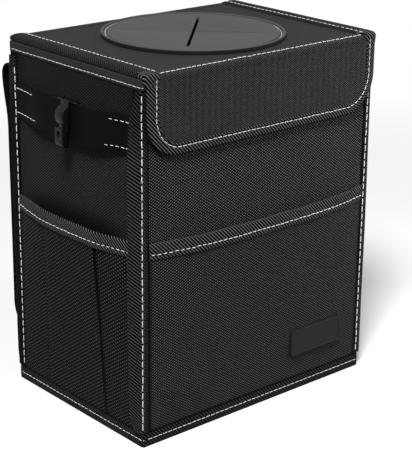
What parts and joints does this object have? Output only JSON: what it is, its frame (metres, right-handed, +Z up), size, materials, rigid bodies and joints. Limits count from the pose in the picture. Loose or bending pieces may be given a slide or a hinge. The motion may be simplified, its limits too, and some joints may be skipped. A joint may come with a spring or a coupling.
{
  "type": "car trash bin",
  "caption": "Boxy fabric car bin with a hinged lid, a rubber slit disc in its top, a front flap, outer pockets, side straps with sliding hooks and a hanging strap.",
  "frame": {"origin": "centre of the base's underside, on the floor", "axes": "+Z up, -Y towards the front with the flap and front pocket, +X towards the right as seen from the front"},
  "size_m": [0.23, 0.1664, 0.253],
  "materials": {
    "outer_fabric": "black plain-weave polyester with a fine dotted weave",
    "twill_tape": "black twill binding tape with diagonal ribs and white stitching",
    "lining": "smooth dark grey coated lining",
    "webbing": "smooth black webbing",
    "board": "plain grey stiffener board",
    "disc_rubber": "matt grey moulded rubber",
    "hook_plastic": "black moulded plastic with a satin sheen",
    "patch": "bare black moulded patch with a raised border",
    "touch_fastener": "black hook and loop fastener"
  },
  "bodies": {
    "bin": {"base_panel": "outer_fabric", "front_panel": "outer_fabric", "back_panel": "outer_fabric", "left_panel": "outer_fabric", "right_panel": "outer_fabric", "base_board": "board", "front_board": "board", "back_board": "board", "left_board": "board", "right_board": "board", "liner": "lining", "base_hem": "twill_tape", "rim_band": "twill_tape", "front_left_tape": "twill_tape", "front_right_tape": "twill_tape", "rear_left_tape": "twill_tape", "rear_right_tape": "twill_tape", "front_pocket": "outer_fabric", "front_pocket_tape": "twill_tape", "left_pocket": "outer_fabric", "left_pocket_tape": "twill_tape", "right_pocket": "outer_fabric", "right_pocket_tape": "twill_tape", "label_patch": "patch", "loop_patch": "touch_fastener", "left_strap": "webbing", "right_strap": "webbing", "hanging_strap": "webbing"},
    "lid": {"lid_panel": "outer_fabric", "lid_board": "board", "lid_lining": "lining", "lid_left_tape": "twill_tape", "lid_right_tape": "twill_tape", "slit_disc": "disc_rubber"},
    "flap": {"flap_panel": "outer_fabric", "flap_lining": "lining", "flap_tape": "twill_tape", "hook_patch": "touch_fastener"},
    "slider": {"strap_slider": "hook_plastic"},
    "left_hook": {"left_hook": "hook_plastic"},
    "right_hook": {"right_hook": "hook_plastic"}
  },
  "joints": [
    {"name": "lid_hinge", "type": "hinge", "parent": "bin", "child": "lid", "pos_m": [0, 0.0722, 0.249], "axis": [-1, 0, 0], "range_deg": [0, 200]},
    {"name": "flap_fold", "type": "hinge", "parent": "lid", "child": "flap", "pos_m": [0, -0.0729, 0.2488], "axis": [-1, 0, 0], "range_deg": [0, 170]},
    {"name": "left_hook_slide", "type": "slide", "parent": "bin", "child": "left_hook", "axis": [0, 1, 0], "range_m": [-0.0155, 0.0205]},
    {"name": "right_hook_slide", "type": "slide", "parent": "bin", "child": "right_hook", "axis": [0, 1, 0], "range_m": [-0.0155, 0.0205]},
    {"name": "slider_slide", "type": "slide", "parent": "bin", "child": "slider", "axis": [0, 0, 1], "range_m": [-0.08, 0.022]}
  ]
}
